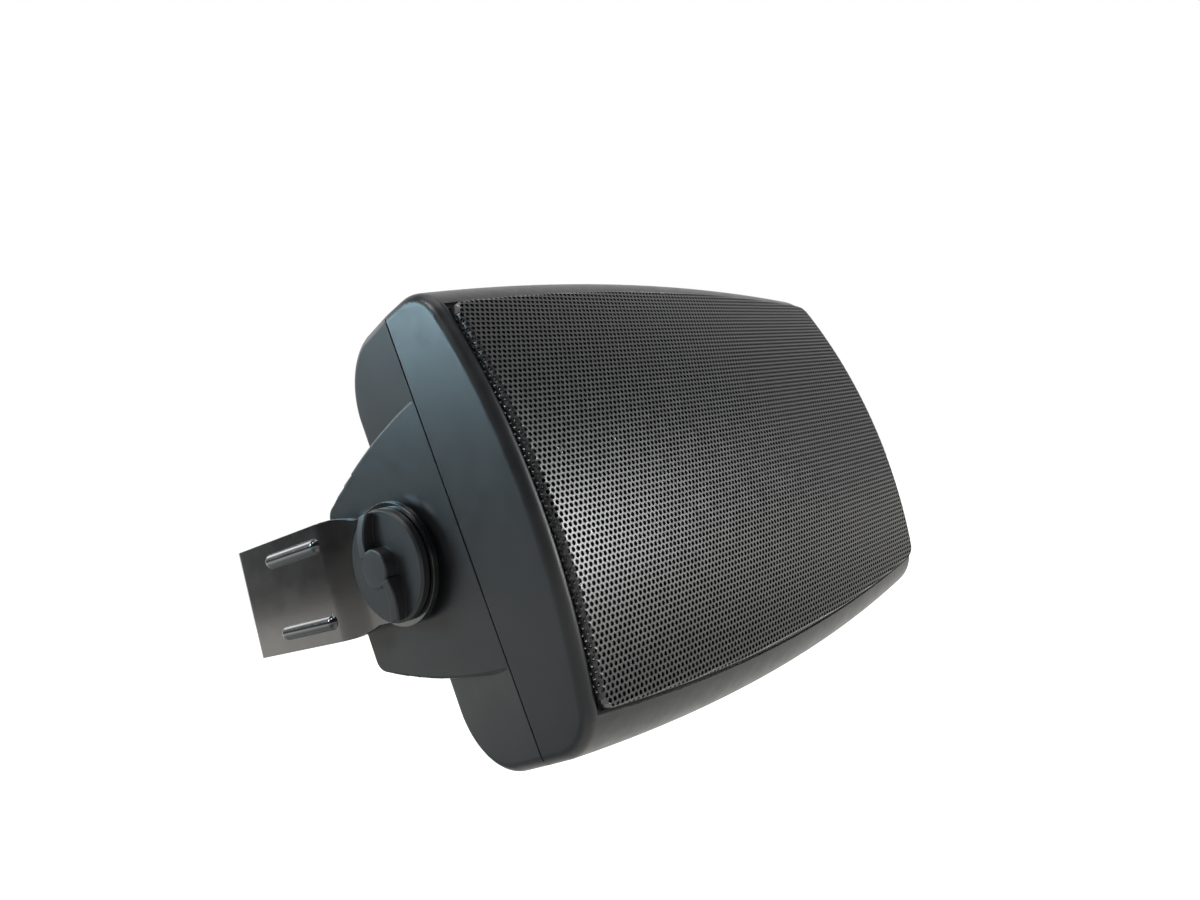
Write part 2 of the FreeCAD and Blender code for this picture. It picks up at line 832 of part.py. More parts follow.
def make_bracket():
    """Folded strip: wall base, two arms with pressed beads, joggled ears with round ends."""
    strip = d.strip
    lean = math.atan2(d.joggle.value, (d.joggle_end - d.joggle_start).value)
    shift = strip * math.tan(lean / 2)
    tip = -d.arm_reach - d.arm_width / 2
    step_in = -d.arm_reach + d.joggle_start
    step_out = -d.arm_reach + d.joggle_end
    outer = [(ear_outer, tip), (ear_outer, step_in), (arm_face, step_out), (arm_face, 0)]
    inner = [
        (arm_face - strip, -strip),
        (arm_face - strip, step_out + shift),
        (ear_outer - strip, step_in + shift),
        (ear_outer - strip, tip),
    ]
    right = outer + [(-x, y) for x, y in outer[::-1]]
    left = [(-x, y) for x, y in inner[::-1]] + inner
    folded = padded("bracket_strip", "XY_Plane", right + left, d.arm_width)

    def fold_radius(edge):
        if edge.BoundBox.ZLength < d.arm_width.value - 1e-3:
            return 0
        x, y = abs(edge.CenterOfMass.x), edge.CenterOfMass.y
        radii = {
            (arm_face, 0): d.fold_round,
            (arm_face - strip, -strip): d.fold_round - strip,
            (arm_face, step_out): d.joggle_round,
            (arm_face - strip, step_out + shift): d.joggle_round - strip,
            (ear_outer, step_in): d.joggle_round - strip,
            (ear_outer - strip, step_in + shift): d.joggle_round,
        }
        for (corner_x, corner_y), radius in radii.items():
            if abs(x - value_of(corner_x)) < 1e-3 and abs(y - value_of(corner_y)) < 1e-3:
                return radius.value
        return 0

    bent = rounded("bracket_bent", folded, fold_radius)
    span = 2 * arm_face
    ear = cylinder("ear_round", d.arm_width / 2, span, (-arm_face, -d.arm_reach, 0), TO_RIGHT)
    side_view = [
        (-d.arm_reach, d.neck_half),
        (-d.arm_reach + d.neck_end, d.neck_half),
        (-d.arm_reach + d.neck_flare, d.arm_width / 2),
        (0, d.arm_width / 2),
    ]
    lower_side = [(y, -z) for y, z in side_view[::-1]]
    reach = padded("arm_side_view", "YZ_Plane", side_view + lower_side, span)
    trimmed = common("bracket_trimmed", bent, fuse("ear_outline", ear, reach))
    ridges, grooves = [], []
    for side in (-1, 1):
        for level in (-1, 1):
            name = f"bead_{'left' if side < 0 else 'right'}_{'low' if level < 0 else 'high'}"
            axis_x = side * (arm_face - d.bead_radius + d.bead_height)
            near = -d.arm_reach + d.bead_near
            skin = d.bead_skin
            ridges += bead(name, d.bead_radius, axis_x, near, level * d.bead_offset)
            grooves += bead(name + "_groove", d.bead_radius - skin, axis_x, near + skin, level * d.bead_offset)
    pressed = fuse("bracket_pressed", trimmed, *ridges)
    hole = d.stud_radius + d.stud_hole_gap
    ears = cylinder("ear_holes", hole, span, (-arm_face, -d.arm_reach, 0), TO_RIGHT)
    wall_holes = [cylinder("centre_hole", d.centre_hole, 2 * strip, (0, -1.5 * strip, 0), TO_BACK)]
    for side in (-1, 1):
        wall_holes += slot(f"wall_slot_{'left' if side < 0 else 'right'}", side * d.slot_spacing / 2)
    return cut("bracket", pressed, ears, *grooves, *wall_holes)


def bead(name, radius, x, near, z):
    """Straight pressed bead along an arm, with round ends."""
    start = near + radius
    far = -d.arm_reach + d.bead_far
    bar = cylinder(name + "_bar", radius, far - start, (x, start, z), TO_BACK)
    ends = [sphere(f"{name}_end_{index}", radius, (x, y, z)) for index, y in enumerate((start, far))]
    return [bar] + ends


def slot(name, x):
    """Level slot through the base, for a wall screw."""
    strip, width = d.strip, d.slot_width
    run = d.slot_length - width
    middle = box(name + "_middle", (x, -strip / 2, 0), (run, 2 * strip, width))
    ends = [
        cylinder(f"{name}_end_{index}", width / 2, 2 * strip, (x + step * run, -1.5 * strip, 0), TO_BACK)
        for index, step in enumerate((-0.5, 0.5))
    ]
    return [middle] + ends


node(make_bracket(), "bracket", Placement())


# Woofer, on the front of the baffle, its own Z axis towards the grille

def woofer(name, points):
    return turned(name, points, (d.woofer_x, baffle_front, 0), TO_FRONT)


def make_basket():
    """Pressed frame with a screw flange, a ledge for the spider and four windows."""
    skin = d.basket_skin
    points = [
        (d.basket_mouth, d.flange_thick),
        (d.ledge_radius, -d.ledge_depth),
        (d.basket_foot, -d.ledge_depth),
        (d.basket_foot, -d.basket_depth),
        (d.magnet_bore, -d.basket_depth),
        (d.magnet_bore, -d.basket_depth - skin),
        (d.basket_foot + skin, -d.basket_depth - skin),
        (d.basket_foot + skin, -d.ledge_depth - skin),
        (d.ledge_radius + skin, -d.ledge_depth - skin),
        (d.basket_mouth, -skin),
        (d.basket_mouth, 0),
        (d.woofer_radius, 0),
        (d.woofer_radius, d.flange_thick),
    ]
    dish = woofer("basket_dish", points)
    top, bottom = -d.flange_thick, -d.ledge_depth + skin
    height = top - bottom
    across = 2 * d.woofer_radius
    level = baffle_front - (top + bottom) / 2
    windows = [
        box("basket_window_level", (d.woofer_x, level, 0), (across, height, d.window_width)),
        box("basket_window_upright", (d.woofer_x, level, 0), (d.window_width, height, across)),
    ]
    holes = [
        cylinder(f"basket_hole_{index}", d.screw_shank + d.stud_hole_gap, 2 * d.flange_thick,
                 (x, baffle_front - 1.5 * d.flange_thick, z), TO_BACK)
        for index, (x, z) in enumerate(woofer_points)
    ]
    return cut("woofer_basket", dish, *windows, *holes)


node(make_basket(), "woofer_basket")

plate_front = -d.basket_depth - d.basket_skin
plate_back = plate_front - d.plate_thick
magnet_back = plate_back - d.magnet_thick
yoke_back = magnet_back - d.yoke_thick
former_inner = d.coil_radius - d.former_skin
coil_outer = d.coil_radius + d.coil_wire
pole_radius = former_inner - d.air_gap
gap_radius = coil_outer + d.air_gap
cone_edge = d.flange_thick
cone_middle = (d.cone_radius + d.coil_radius) / 2 + d.cone_skin

node(woofer("woofer_top_plate", [
    (gap_radius, plate_back),
    (d.plate_radius, plate_back),
    (d.plate_radius, plate_front),
    (gap_radius, plate_front),
]), "woofer_top_plate")
node(woofer("woofer_magnet", [
    (d.magnet_bore, magnet_back),
    (d.magnet_radius, magnet_back),
    (d.magnet_radius, plate_back),
    (d.magnet_bore, plate_back),
]), "woofer_magnet")
node(woofer("woofer_yoke", [
    (0, yoke_back),
    (d.yoke_radius, yoke_back),
    (d.yoke_radius, magnet_back),
    (pole_radius, magnet_back),
    (pole_radius, plate_front),
    (0, plate_front),
]), "woofer_yoke")

node(woofer("woofer_cone", [
    (d.coil_radius, -d.cone_depth),
    (d.coil_radius, -d.cone_depth - 2 * d.cone_skin),
    (d.coil_radius + d.cone_skin, -d.cone_depth - 2 * d.cone_skin),
    (cone_middle + d.cone_skin, -d.cone_depth * 0.55 - d.cone_skin),
    (d.cone_radius, cone_edge - d.cone_skin),
    (d.cone_radius, cone_edge),
    (d.cone_radius - 2.5, cone_edge),
    (cone_middle, -d.cone_depth * 0.55),
]), "woofer_cone")


def make_surround():
    """Half-roll edge between the cone and the basket flange."""
    skin, roll = d.roll_skin.value, d.roll_radius.value
    foot = d.roll_foot.value
    middle = d.cone_radius.value + roll
    low = cone_edge.value
    inner, outer = middle - roll, middle + roll

    def arc(radius, first, last):
        return Part.Arc(
            Vector(middle + first * radius, 0, low + skin),
            Vector(middle, 0, low + skin + radius),
            Vector(middle + last * radius, 0, low + skin),
        ).toShape()

    outline = [
        Vector(inner + skin, 0, low + skin),
        Vector(inner + skin, 0, low),
        Vector(inner - foot, 0, low),
        Vector(inner - foot, 0, low + skin),
        Vector(inner, 0, low + skin),
    ]
    far_side = [
        Vector(outer, 0, low + skin),
        Vector(outer + foot, 0, low + skin),
        Vector(outer + foot, 0, low),
        Vector(outer - skin, 0, low),
        Vector(outer - skin, 0, low + skin),
    ]
    edges = [Part.makeLine(a, b) for a, b in zip(outline, outline[1:])]
    edges.append(arc(roll, -1, 1))
    edges += [Part.makeLine(a, b) for a, b in zip(far_side, far_side[1:])]
    edges.append(arc(roll - skin, 1, -1))
    ring = Part.Face(Part.Wire(edges)).revolve(Vector(0, 0, 0), Vector(0, 0, 1), 360)
    return place(feature("woofer_surround", ring), (d.woofer_x, baffle_front, 0), TO_FRONT)


node(make_surround(), "woofer_surround")

trim_inner = d.cone_radius + 2 * d.roll_radius
trim_low = d.flange_thick + d.roll_skin
node(woofer("woofer_trim", [
    (trim_inner, trim_low),
    (trim_inner + d.roll_foot, trim_low),
    (trim_inner + d.roll_foot, trim_low + d.trim_thick / 2),
    (trim_inner + d.roll_foot / 2, trim_low + d.trim_thick),
    (trim_inner, trim_low + d.trim_thick),
]), "woofer_trim")

coil_middle = plate_front - d.plate_thick / 2
coil_low = coil_middle - d.coil_height / 2
coil_high = coil_middle + d.coil_height / 2
node(woofer("woofer_coil_former", [
    (former_inner, coil_low),
    (d.coil_radius, coil_low),
    (d.coil_radius, -d.cone_depth + d.cone_skin),
    (former_inner, -d.cone_depth + d.cone_skin),
]), "woofer_coil_former")
node(woofer("woofer_voice_coil", [
    (d.coil_radius, coil_low),
    (coil_outer, coil_low),
    (coil_outer, coil_high),
    (d.coil_radius, coil_high),
]), "woofer_voice_coil")


def cap(name, radius, rise, skin, at):
    """Thin spherical cap that faces the grille, its rim at the given point."""
    ball = (radius ** 2 + rise ** 2) / (2 * rise)
    middle = Vector(0, 0, rise - ball)
    shell = Part.makeSphere(ball, middle).cut(Part.makeSphere(ball - skin, middle))
    shell = shell.common(Part.makeCylinder(2 * radius, 2 * rise))
    return place(feature(name, shell), at, TO_FRONT)


cap_slope = (d.cap_radius - d.coil_radius).value / (cone_middle - d.coil_radius).value
cap_low = -d.cone_depth + d.cone_depth * 0.45 * cap_slope
node(cap(
    "woofer_dust_cap",
    d.cap_radius.value,
    d.cap_rise.value,
    d.cap_skin.value,
    (d.woofer_x, baffle_front - cap_low, 0),
), "woofer_dust_cap")


def make_spider():
    """Corrugated centring disc between the coil former and the basket ledge."""
    skin, wave = d.spider_skin, d.spider_wave
    low = -d.ledge_depth
    inner, outer = d.coil_radius, d.ledge_radius - 2 * d.basket_skin
    first, last = inner + 1, outer - d.spider_foot
    folds = 6
    step = (last - first) / folds
    crests = [(first + index * step, low + wave * (index % 2)) for index in range(folds + 1)]
    lower = [(inner, low)] + crests + [(outer, low)]
    upper = [(radius, level + skin) for radius, level in lower[::-1]]
    return woofer("woofer_spider", lower + upper)


node(make_spider(), "woofer_spider")
screws("woofer_screws", baffle_front - d.flange_thick, woofer_points, d.screw_length / 2, -1)


# Tweeter, on the same baffle

def tweeter(name, points):
    return turned(name, points, (d.tweeter_x, baffle_front, 0), TO_FRONT)


def make_tweeter_face():
    """Round face plate with a flared throat."""
    flare = d.throat_radius + d.throat_flare
    plate = tweeter("tweeter_plate", [
        (d.throat_radius, 0),
        (d.tweeter_radius, 0),
        (d.tweeter_radius, d.face_thick * 0.7),
        (d.tweeter_radius - d.face_thick * 0.3, d.face_thick),
        (flare, d.face_thick),
        (d.throat_radius, d.face_thick / 3),
    ])
    holes = [
        cylinder(f"tweeter_hole_{index}", d.small_shank + d.stud_hole_gap, 2 * d.face_thick,
                 (x, baffle_front - 1.5 * d.face_thick, z), TO_BACK)
        for index, (x, z) in enumerate(tweeter_points)
    ]
    return cut("tweeter_face", plate, *holes)


node(make_tweeter_face(), "tweeter_face")
screws(
    "tweeter_screws",
    baffle_front - d.face_thick,
    tweeter_points,
    d.screw_length / 2,
    -1,
    d.small_head,
    d.small_shank,
)
pot_inner = d.dome_radius + d.tweeter_gap
pot_bottom = -d.pot_depth + d.pot_floor
pole_low = pot_bottom + d.tweeter_magnet_thick
tweeter_pole = d.dome_radius - d.tweeter_coil - d.tweeter_gap
node(tweeter("tweeter_pot", [
    (0, -d.pot_depth),
    (d.pot_radius, -d.pot_depth),
    (d.pot_radius, 0),
    (pot_inner, 0),
    (pot_inner, pot_bottom),
    (0, pot_bottom),
]), "tweeter_pot")
node(tweeter("tweeter_magnet", [
    (0, pot_bottom),
    (tweeter_pole - 1, pot_bottom),
    (tweeter_pole - 1, pole_low),
    (0, pole_low),
]), "tweeter_magnet")
node(tweeter("tweeter_pole", [
    (0, pole_low),
    (tweeter_pole, pole_low),
    (tweeter_pole, -d.face_thick / 2),
    (0, -d.face_thick / 2),
]), "tweeter_pole")
node(tweeter("tweeter_voice_coil", [
    (d.dome_radius - d.tweeter_coil, -d.tweeter_coil_depth),
    (d.dome_radius, -d.tweeter_coil_depth),
    (d.dome_radius, 0),
    (d.dome_radius - d.tweeter_coil, 0),
]), "tweeter_voice_coil")
node(cap(
    "tweeter_dome",
    d.dome_radius.value,
    d.dome_rise.value,
    d.dome_skin.value,
    (d.tweeter_x, baffle_front, 0),
), "tweeter_dome")
roll_out = d.throat_radius - 0.1
node(tweeter("tweeter_surround", [
    (d.dome_radius, 0),
    (pot_inner + 0.1, d.dome_skin),
    (pot_inner + 0.4, 0),
    (roll_out, 0),
    (roll_out, d.dome_skin / 2),
    (pot_inner + 0.6, d.dome_skin / 2),
    (pot_inner + 0.1, d.dome_skin * 2),
    (d.dome_radius, d.dome_skin),
]), "tweeter_surround")


# Crossover board on the back wall of the hub ridge

inner_back = d.hub_depth - d.wall
board_back = inner_back - d.standoff
board_front = board_back - d.board_thick


def make_board():
    plate = box(
        "board_plate",
        (board_x, board_front + d.board_thick / 2, 0),
        (d.board_length, d.board_thick, d.board_height),
    )
    holes = [
        cylinder(f"board_hole_{index}", d.screw_shank + d.stud_hole_gap, 2 * d.board_thick,
                 (x, board_front - d.board_thick / 2, z), TO_BACK)
        for index, (x, z) in enumerate(board_points())
    ]
    return cut("crossover_board", plate, *holes)


node(make_board(), "crossover_board")
screws("board_screws", board_front, board_points(), d.standoff, -1)
capacitor_z = -d.board_height / 2 + d.capacitor_radius + 1
node(cylinder(
    "crossover_capacitor",
    d.capacitor_radius,
    d.capacitor_length,
    (board_x - d.board_length / 2 + 1, board_front - d.capacitor_radius, capacitor_z),
    TO_RIGHT,
), "crossover_capacitor")
bobbin_x = board_x + d.board_length / 2 - d.bobbin_radius - 1
bobbin_z = d.board_height / 2 - d.bobbin_radius - 1


def bobbin(name, points):
    return turned(name, points, (bobbin_x, board_front, bobbin_z), TO_FRONT)


flange_top = d.bobbin_height - d.bobbin_flange
node(bobbin("inductor_bobbin", [
    (d.bobbin_core / 2, 0),
    (d.bobbin_radius, 0),
    (d.bobbin_radius, d.bobbin_flange),
    (d.bobbin_core, d.bobbin_flange),
    (d.bobbin_core, flange_top),
    (d.bobbin_radius, flange_top),
    (d.bobbin_radius, d.bobbin_height),
    (d.bobbin_core / 2, d.bobbin_height),
]), "inductor_bobbin")
node(bobbin("inductor_winding", [
    (d.bobbin_core, d.bobbin_flange),
    (d.bobbin_radius - d.bobbin_flange / 2, d.bobbin_flange),
    (d.bobbin_radius - d.bobbin_flange / 2, flange_top),
    (d.bobbin_core, flange_top),
]), "inductor_winding")
resistor_x = board_x - d.board_length / 2 + d.resistor_length / 2 + 1
node(box(
    "crossover_resistor",
    (resistor_x, board_front - d.resistor_depth / 2, 0),
    (d.resistor_length, d.resistor_depth, d.resistor_height),
), "crossover_resistor")


# Terminal cup in the window at the middle of the back

cup_floor = d.hub_depth - d.cup_depth + d.cup_skin
lever_y = cup_floor + d.lever_rise + d.lever_thick / 2
hinge_z = -d.lever_height / 2 + d.lug_height / 2
lug_span = d.lever_offset + d.lever_width / 2 + d.lever_gap
lug_near = d.lever_offset - d.lever_width / 2 - d.lever_gap
tab_z = (d.contact_length - d.contact_thick) / 2


def make_cup():
    """Recessed cup with a screw flange, hinge lugs and slots for the contact tabs."""
    skin, back = d.cup_skin, d.hub_depth
    rim = d.cup_flange_thick
    body = box("cup_body", (0, back - d.cup_depth / 2, 0), (d.cup_length, d.cup_depth, d.cup_height))
    flange = box(
        "cup_rim",
        (0, back + rim / 2, 0),
        (d.cup_length + 2 * d.cup_side, rim, d.cup_height + 2 * d.cup_flange),
    )
    depth = back + 2 * rim - cup_floor
    recess = box(
        "cup_recess",
        (0, cup_floor + depth / 2, 0),
        (d.cup_length - 2 * skin, depth, d.cup_height - 2 * skin),
    )
    lug_depth = d.lever_rise + d.lever_thick / 2 + d.lug_height / 2
    lug_y = cup_floor - skin / 2 + (lug_depth + skin / 2) / 2
    lugs = [box("lug_middle", (0, lug_y, hinge_z), (2 * lug_near, lug_depth + skin / 2, d.lug_height))]
    for side in (-1, 1):
        centre = (side * (lug_span + d.lug_width / 2), lug_y, hinge_z)
        name = "lug_left" if side < 0 else "lug_right"
        lugs.append(box(name, centre, (d.lug_width, lug_depth + skin / 2, d.lug_height)))
    dish = cut("cup_dish", fuse("cup_block", body, flange), recess)
    reach = 2 * (lug_span + d.lug_width)
    bore = cylinder("lug_bore", d.pin_radius + d.pin_gap, reach, (-reach / 2, lever_y, hinge_z), TO_RIGHT)
    slots = [
        box(
            f"tab_slot_{index}",
            (side * d.lever_offset, cup_floor - skin / 2, tab_z),
            (d.contact_width + d.pin_gap, 2 * skin, d.contact_thick + d.pin_gap),
        )
        for index, side in enumerate((-1, 1))
    ]
    holes = [
        cylinder(f"cup_hole_{index}", d.screw_shank + d.stud_hole_gap, 3 * rim, (x, back - rim, z), TO_BACK)
        for index, (x, z) in enumerate(cup_points())
    ]
    return cut("terminal_cup", fuse("cup_with_lugs", dish, *lugs), bore, *slots, *holes)


def make_lever(name, side):
    """Spring lever with a wire hole and two hinge pins."""
    x = side * d.lever_offset
    plate = box(name + "_plate", (x, lever_y, 0), (d.lever_width, d.lever_thick, d.lever_height))
    span = d.lever_width + 2 * d.pin_reach
    pins = cylinder(name + "_pins", d.pin_radius, span, (x - span / 2, lever_y, hinge_z), TO_RIGHT)
    hole = cylinder(
        name + "_hole",
        d.lever_thick / 2,
        3 * d.lever_thick,
        (x, lever_y - 1.5 * d.lever_thick, hinge_z + d.lug_height),
        TO_BACK,
    )
    ribs = [
        box(
            f"{name}_rib_{index}",
            (x, lever_y + d.lever_thick / 2, d.lever_height / 2 - (index + 1) * d.lever_rise / 2),
            (d.lever_width - d.lever_thick, d.lever_thick / 2, d.lever_thick / 3),
        )
        for index in range(3)
    ]
    return cut(name, fuse(name + "_solid", plate, pins, *ribs), hole)


def make_contact(name, side):
    """Brass strip on the cup's floor with a solder tab through it."""
    x = side * d.lever_offset
    thick = d.contact_thick
    strip = box(name + "_strip", (x, cup_floor + thick / 2, 0), (d.contact_width, thick, d.contact_length))
    deep = d.cup_skin + d.tab_length
    tab = box(name + "_tab", (x, cup_floor - deep / 2, tab_z), (d.contact_width, deep, thick))
    return fuse(name, strip, tab)


node(make_cup(), "terminal_cup")
for colour, side in (("red", 1), ("black", -1)):
    node(make_lever(f"lever_{colour}", side), f"lever_{colour}")
    node(make_contact(f"contact_{colour}", side), f"contact_{colour}")
screws("cup_screws", d.hub_depth + d.cup_flange_thick, cup_points(), d.screw_length / 2, 1)

# Wadding on the back wall beside the terminals
node(box(
    "damping_pad",
    ((d.pad_near + d.pad_far) / 2, inner_back - d.pad_thick / 2, 0),
    (d.pad_far - d.pad_near, d.pad_thick, 2 * d.pad_half),
), "damping_pad")


# Check and write

doc.recompute()
for item in doc.Objects:
    bad = [word for word in ("Invalid", "Error") if word in item.State]
    if bad:
        raise RuntimeError(f"{item.Label} did not compute: {bad}")
os.makedirs("parts", exist_ok=True)
for item in NODES:
    shape = item.Shape
    if shape.isNull() or not shape.isValid() or not shape.Solids:
        raise RuntimeError(f"{item.Label} has no sound solid")
    shape.exportStep(f"parts/{item.Label}.step")
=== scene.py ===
import json
import math

import bpy
from mathutils import Matrix, Vector


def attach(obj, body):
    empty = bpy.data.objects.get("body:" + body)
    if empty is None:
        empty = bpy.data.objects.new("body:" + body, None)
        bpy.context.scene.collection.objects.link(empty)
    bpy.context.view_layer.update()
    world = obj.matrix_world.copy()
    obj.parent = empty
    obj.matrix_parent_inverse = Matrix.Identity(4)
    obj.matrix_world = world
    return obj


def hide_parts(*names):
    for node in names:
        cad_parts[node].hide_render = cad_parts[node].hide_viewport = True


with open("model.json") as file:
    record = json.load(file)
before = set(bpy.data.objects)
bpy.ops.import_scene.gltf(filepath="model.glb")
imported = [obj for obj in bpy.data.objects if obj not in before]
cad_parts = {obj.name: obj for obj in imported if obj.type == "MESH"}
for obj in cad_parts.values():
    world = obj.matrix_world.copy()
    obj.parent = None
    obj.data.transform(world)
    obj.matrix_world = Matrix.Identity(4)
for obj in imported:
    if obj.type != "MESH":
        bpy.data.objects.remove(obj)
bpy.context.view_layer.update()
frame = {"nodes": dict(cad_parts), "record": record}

# Looks for the bracket-hung loudspeaker. Lengths here are in metres, in the part's own frame;
# the grille is laid out in the cabinet's frame, whose origin lies on the tilt axis.

MM = 0.001

ARM_REACH = 87.7 * MM
REST_TILT = math.radians(-8.3)
CABINET = Matrix.Translation((0, -ARM_REACH, 0)) @ Matrix.Rotation(REST_TILT, 4, "X")

HALF_LENGTH = 112 * MM
HALF_END = 72 * MM
CROWN = 7.4 * MM
GRILLE_RADIUS = 236.5 * MM
GRILLE_FRONT = 65.29 * MM
GRILLE_INSET_X = 4.5 * MM
# The sheet ends a little short of its seat at top and bottom, which leaves a dark line there.
GRILLE_INSET_Z = 10.2 * MM
GRILLE_ROLL = 1.4 * MM
GRILLE_CORNER = 5 * MM
GRILLE_FLANGE = 6 * MM
SHEET = 0.9 * MM
PITCH = 2 * MM
HOLE_RADIUS = 0.67 * MM
HOLE_BEVEL = 0.1 * MM
CELL_SIDES = 6
HOLE_SIDES = 2 * CELL_SIDES
PANELS = 4

SMOOTH_ANGLE = math.radians(24)
MERGE_DISTANCE = 1e-6
AREA_WEIGHT = 80
NOISE_LOW, NOISE_HIGH = 0.3, 0.7


# Materials

class Surface:
    """A principled surface whose colour, gloss and relief vary by noise over the object."""

    def __init__(self, name, rough, metal=0.0, specular=0.5, coat=0.0, coat_rough=0.1, sheen=0.0):
        self.material = bpy.data.materials.new(name)
        self.material.use_nodes = True
        self.tree = self.material.node_tree
        self.shader = self.tree.nodes["Principled BSDF"]
        self.place = self.add("ShaderNodeTexCoord").outputs["Object"]
        self.height = None
        for socket, value in (
            ("Roughness", rough),
            ("Metallic", metal),
            ("Specular IOR Level", specular),
            ("Coat Weight", coat),
            ("Coat Roughness", coat_rough),
            ("Sheen Weight", sheen),
        ):
            self.shader.inputs[socket].default_value = value

    def add(self, kind, **settings):
        node = self.tree.nodes.new(kind)
        for key, value in settings.items():
            setattr(node, key, value)
        return node

    def join(self, source, target):
        self.tree.links.new(source, target)

    def noise(self, size, detail=3.0, stretch=(1, 1, 1)):
        """Noise with features of about the given size in metres."""
        mapping = self.add("ShaderNodeMapping")
        mapping.inputs["Scale"].default_value = [1 / (size * s) for s in stretch]
        self.join(self.place, mapping.inputs["Vector"])
        noise = self.add("ShaderNodeTexNoise")
        noise.inputs["Scale"].default_value = 1.0
        noise.inputs["Detail"].default_value = detail
        self.join(mapping.outputs["Vector"], noise.inputs["Vector"])
        return noise.outputs["Fac"]

    def ramp(self, source, low, high):
        """Colour between two values over the middle of the noise."""
        ramp = self.add("ShaderNodeValToRGB")
        ramp.color_ramp.elements[0].position = NOISE_LOW
        ramp.color_ramp.elements[1].position = NOISE_HIGH
        ramp.color_ramp.elements[0].color = (*low, 1)
        ramp.color_ramp.elements[1].color = (*high, 1)
        self.join(source, ramp.inputs["Fac"])
        return ramp.outputs["Color"]

    def span(self, source, low, high):
        """Number between two values over the middle of the noise."""
        scale = self.add("ShaderNodeMapRange")
        scale.inputs["From Min"].default_value = NOISE_LOW
        scale.inputs["From Max"].default_value = NOISE_HIGH
        scale.inputs["To Min"].default_value = low
        scale.inputs["To Max"].default_value = high
        self.join(source, scale.inputs["Value"])
        return scale.outputs["Result"]

    def colour(self, low, high, size):
        self.join(self.ramp(self.noise(size), low, high), self.shader.inputs["Base Color"])
        return self

    def gloss(self, low, high, size, stretch=(1, 1, 1)):
        self.join(self.span(self.noise(size, 2.0, stretch), low, high), self.shader.inputs["Roughness"])
        return self

    def relief(self, size, depth, detail=2.0, stretch=(1, 1, 1)):
        """Adds surface grain of a size and a depth in metres."""
        bump = self.add("ShaderNodeBump")
        bump.inputs["Strength"].default_value = 1.0
        bump.inputs["Distance"].default_value = depth
        self.join(self.noise(size, detail, stretch), bump.inputs["Height"])
        if self.height is not None:
            self.join(self.height, bump.inputs["Normal"])
        self.height = bump.outputs["Normal"]
        self.join(self.height, self.shader.inputs["Normal"])
        return self

    def soft_edges(self, radius):
        """Softens the look of the pressed or moulded edges."""
        edge = self.add("ShaderNodeBevel", samples=6)
        edge.inputs["Radius"].default_value = radius
        self.height = edge.outputs["Normal"]
        self.join(self.height, self.shader.inputs["Normal"])
        return self


def around(value, spread):
    """Colours a share darker and lighter than a given one."""
    low = tuple(c * (1 - spread) for c in value)
    high = tuple(c * (1 + spread) for c in value)
    return low, high


